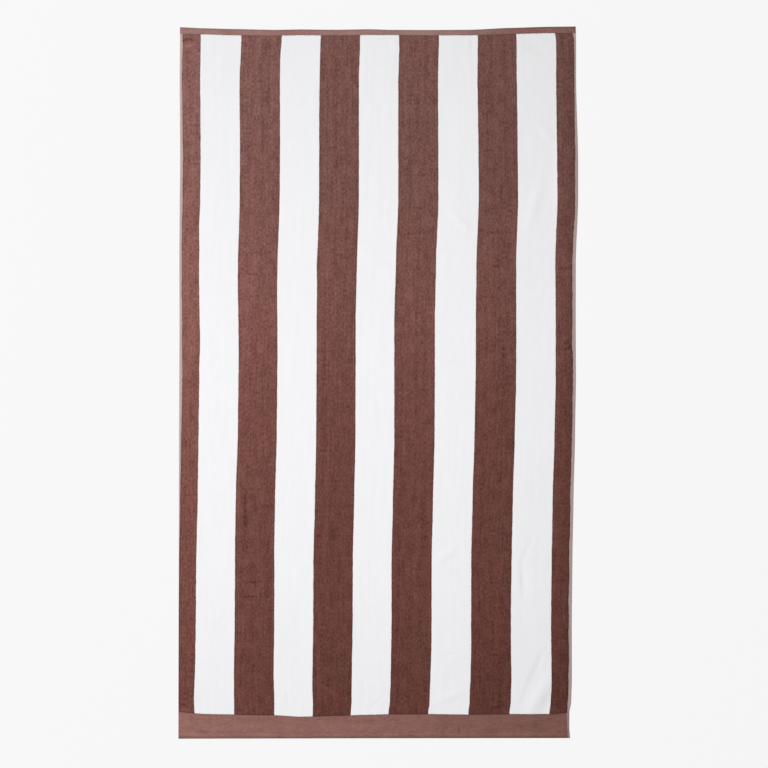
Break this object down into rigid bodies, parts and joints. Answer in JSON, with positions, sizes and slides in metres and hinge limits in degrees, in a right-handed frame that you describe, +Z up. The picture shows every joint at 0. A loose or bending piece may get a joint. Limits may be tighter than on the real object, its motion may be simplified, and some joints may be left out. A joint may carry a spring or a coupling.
{
  "type": "striped velour beach towel",
  "caption": "Rectangular cut-pile beach towel with wide lengthwise stripes, flat woven border at the foot and flat hems, spread out face up.",
  "frame": {"origin": "centre of the towel's outline, on the surface that it lies on", "axes": "+X across the towel, to the right as its face is seen with the woven border at the foot; +Y along it from foot to head; +Z up, out of the pile face"},
  "size_m": [0.9004, 1.6026, 0.0074],
  "materials": {
    "pile_cloth": "cut pile in brown and white stripes, with flat woven brown border and hems"
  },
  "bodies": {
    "root": {"towel": "pile_cloth"}
  },
  "joints": []
}
